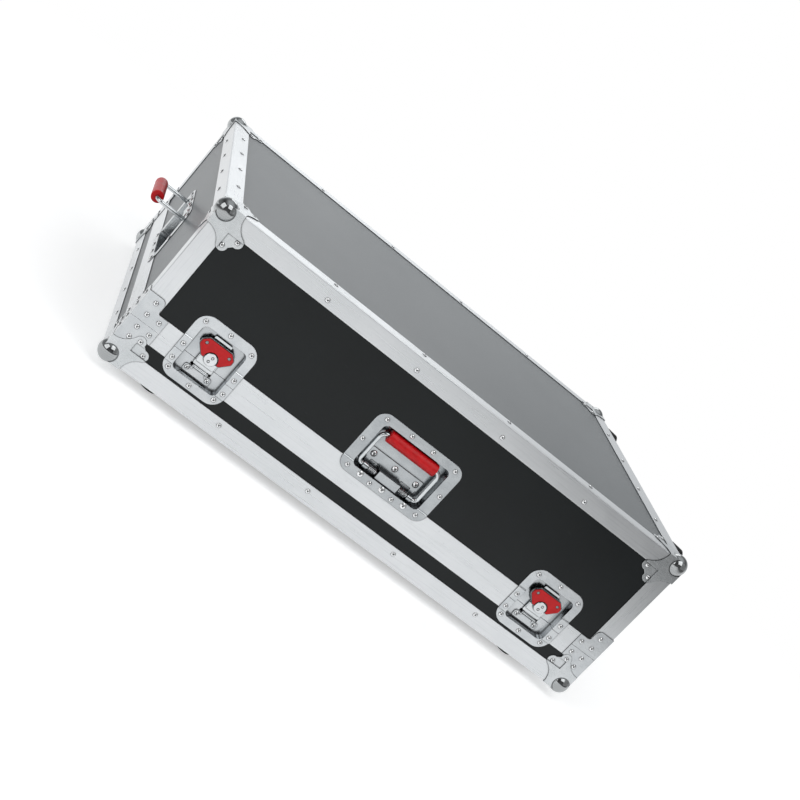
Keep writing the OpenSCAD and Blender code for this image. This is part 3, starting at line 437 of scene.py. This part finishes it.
MATERIALS = {
    "laminate": laminate(),
    "edging": aluminium("edging"),
    "edging_upright": aluminium("edging_upright", upright=True),
    # The pressed dishes get dark painted rims, a painted reflection, and painted shade in hollows
    "pressed": plated("pressed", rgb(208, 211, 213), rgb(190, 194, 197), (0.15, 0.21), 0.0014,
                      rim=(0.5, rgb(104, 108, 111)), hollow=0.4),
    # A darker copy of the pressed steel for the handle dishes and brackets, with dark painted rims
    "pressed_darker": plated("pressed_darker", rgb(184, 188, 190), rgb(164, 168, 171), (0.15, 0.22),
                           0.0014, rim=(0.5, rgb(88, 92, 95)), hollow=0.4),
    "pressed_flat": plated("pressed_flat", rgb(204, 207, 209), rgb(186, 190, 193), (0.16, 0.22),
                           0.0010),
    "base_balls": ball_corner("base_balls", "base_ball_corners", on_top=False),
    "lid_balls": ball_corner("lid_balls", "lid_ball_corners", on_top=True),
    "bright": plated("bright", rgb(214, 217, 219), rgb(200, 204, 206), (0.09, 0.15), 0.0008,
                     0.0003),
    # The knob gets full painted shade in its folds and seams, over a wider band
    "knob": plated("knob", rgb(222, 224, 226), rgb(208, 211, 213), (0.12, 0.18), 0.0008, 0.0003,
                   darkness=1.0, reach=(0.8, 0.97)),
    # The latch wings' steel is made darker, as painted shade in the holes of the red covers
    "wing_steel_darkened": plated("wing_steel_darkened", rgb(150, 153, 156), rgb(126, 130, 133), (0.2, 0.28),
                         0.0006, 0.0003),
    "wire": plated("wire", rgb(214, 216, 218), rgb(190, 193, 196), (0.18, 0.26), 0.0002, 0.0001,
                   darkness=0.45),
    "rivet": rivet_metal(),
    "grip": red("grip", rgb(178, 6, 14), rgb(204, 12, 20), 0.30, 0.00012),
    "cover": red("cover", rgb(182, 18, 24), rgb(200, 26, 30), 0.34, 0.00004),
    "rubber": rubber(),
    "foam": foam(),
}

# A node takes the first material whose words its name holds
WORDS = [
    ("_panel", "laminate"),
    ("base_ball_corners", "base_balls"),
    ("lid_ball_corners", "lid_balls"),
    ("corner_edging", "edging_upright"),
    ("_edging", "edging"),
    ("closing_frame", "edging"),
    ("_rivets", "rivet"),
    ("_grip", "grip"),
    ("wing_cover", "cover"),
    ("_feet", "rubber"),
    ("_springs", "wire"),
    ("_lining", "foam"),
    ("handle_dish", "pressed_darker"),
    ("handle_bracket", "pressed_darker"),
    ("dish", "pressed"),
    ("mount_plate", "pressed_flat"),
    ("leaves", "pressed_flat"),
    ("keeper", "pressed_flat"),
    ("braces", "pressed_flat"),
    ("_rotor", "knob"),
    ("latch_wing", "wing_steel_darkened"),
    ("", "bright"),
]

for name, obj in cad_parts.items():
    if not obj.material_slots:
        obj.data.materials.append(None)
    chosen = next(material for words, material in WORDS if words in name)
    for place in obj.material_slots:
        place.material = MATERIALS[chosen]


def loose_parts(mesh):
    """The faces of each separate slab, the slabs in order of place."""
    def place(faces):
        return sum((f.calc_center_median() for f in faces), Vector()).to_tuple(3)

    left = set(mesh.faces)
    parts = []
    while left:
        seed = next(iter(left))
        group, todo = {seed}, [seed]
        while todo:
            for edge in todo.pop().edges:
                for face in edge.link_faces:
                    if face not in group:
                        group.add(face)
                        todo.append(face)
        left -= group
        parts.append(sorted(group, key=lambda f: f.index))
    return sorted(parts, key=place)


def soft_mesh(name, faces):
    """The slab with these faces again, its edges rounded."""
    slab = bmesh.new()
    twin = {}
    for face in faces:
        for v in face.verts:
            if v.index not in twin:
                twin[v.index] = slab.verts.new(v.co)
        slab.faces.new([twin[v.index] for v in face.verts])
    bmesh.ops.dissolve_limit(slab, angle_limit=FLAT_ANGLE, verts=slab.verts, edges=slab.edges)
    sharp = [e for e in slab.edges if len(e.link_faces) == 2 and e.calc_face_angle() > SHARP_ANGLE]
    bmesh.ops.bevel(slab, geom=sharp, offset=FOAM_EDGE, segments=FOAM_STEPS, profile=0.5,
                    affect="EDGES")
    mesh = bpy.data.meshes.new(name)
    slab.to_mesh(mesh)
    slab.free()
    for face in mesh.polygons:
        face.use_smooth = True
    return mesh


def soft_slabs(node, body):
    """Each foam slab of a CAD node again, with soft edges, in place of the node."""
    whole = bmesh.new()
    whole.from_mesh(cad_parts[node].data)
    bmesh.ops.remove_doubles(whole, verts=whole.verts, dist=SAME_POINT)
    for i, faces in enumerate(loose_parts(whole)):
        name = f"{node}_{i}"
        piece = add(name, soft_mesh(name, faces))
        piece.data.materials.append(MATERIALS["foam"])
        piece.modifiers.new("normals", "WEIGHTED_NORMAL").keep_sharp = True
        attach(piece, body)
        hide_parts(node)
    whole.free()


soft_slabs("base_lining", "base")
soft_slabs("lid_lining", "lid")


def floor_material():
    """The floor glows for the rays that show it. Any other ray meets a plain pale one."""
    s = Shade("floor")
    s.tree.nodes.remove(s.bsdf)
    x, y, _ = s.split(s.coords)
    right_dark = s.times(s.span(x, *RIGHT_CORNER_X), s.span(y, *RIGHT_CORNER_Y))
    left_dark = s.times(s.span(x, *LEFT_CORNER_X), s.span(y, *LEFT_CORNER_Y))
    gloss = s.node("ShaderNodeLightPath").outputs["Is Glossy Ray"]
    corners = s.times(s.math("MAXIMUM", right_dark, left_dark), gloss)
    light = s.span(corners, 0, 1, 1, CORNER_STRENGTH)
    plain = s.wired("ShaderNodeBsdfDiffuse", s.blend(light, FLOOR_DARK, FLOOR_PALE))[0]
    pale = s.wired("ShaderNodeAddShader", plain, s.glow(s.times(light, FLOOR_GLOW)))[0]
    distance = s.wired("ShaderNodeVectorMath", s.coords, operation="LENGTH")["Value"]
    shown = s.wired("ShaderNodeMixShader", s.span(distance, *FLOOR_FADE), pale, s.glow(light))[0]
    out = s.wired("ShaderNodeMixShader", s.seen(), plain, shown)[0]
    s.put(s.tree.nodes["Material Output"].inputs["Surface"], out)
    return s.mat


def set_world():
    """The world is white to the camera, plain light on surfaces, and a room in reflections."""
    world = bpy.data.worlds.new("world")
    world.use_nodes = True
    w = Nodes(world.node_tree)
    x, y, z = w.split(w.node("ShaderNodeTexCoord").outputs["Generated"])
    ceiling = w.plus(w.span(z, *CEILING_DIM), w.span(z, *CEILING_MIDDLE))
    falling = w.times(w.span(x, *RIGHT_FALL), w.span(x, *LEFT_FALL))
    room = w.times(w.span(y, *ROOM_Y), w.span(z, *ROOM_Z))
    gloss = w.times(w.times(ceiling, falling), w.span(room, 0, 1, 1, ROOM_STRENGTH))
    path = w.node("ShaderNodeLightPath").outputs
    shown = w.math("MAXIMUM", path["Is Camera Ray"], path["Is Transmission Ray"])
    around = w.times(path["Is Glossy Ray"], gloss)
    plain = w.times(w.minus(1.0, w.seen()), PLAIN_STRENGTH)
    back = w.tree.nodes["Background"]
    w.put(back.inputs["Strength"], w.plus(w.plus(shown, around), plain))
    w.put(back.inputs["Color"], w.blend(shown, LIGHT_COLOR, SHOWN_COLOR))
    bpy.context.scene.world = world


set_world()

floor_mesh = bpy.data.meshes.new("floor")
corners = [(x * FLOOR_HALF, y * FLOOR_HALF, 0) for x, y in ((-1, -1), (1, -1), (1, 1), (-1, 1))]
floor_mesh.from_pydata(corners, [], [(0, 1, 2, 3)])
floor_mesh.materials.append(floor_material())
floor = add("floor", floor_mesh)

for name, (place, side, power) in LAMPS.items():
    lamp = bpy.data.lights.new(name, "AREA")
    lamp.shape = "SQUARE"
    lamp.size = side
    lamp.energy = power
    holder = add(name, lamp)
    holder.location = place
    holder.rotation_mode = "QUATERNION"
    holder.rotation_quaternion = (TARGET - Vector(place)).to_track_quat("-Z", "Y")

bpy.context.scene.view_settings.view_transform = "Standard"
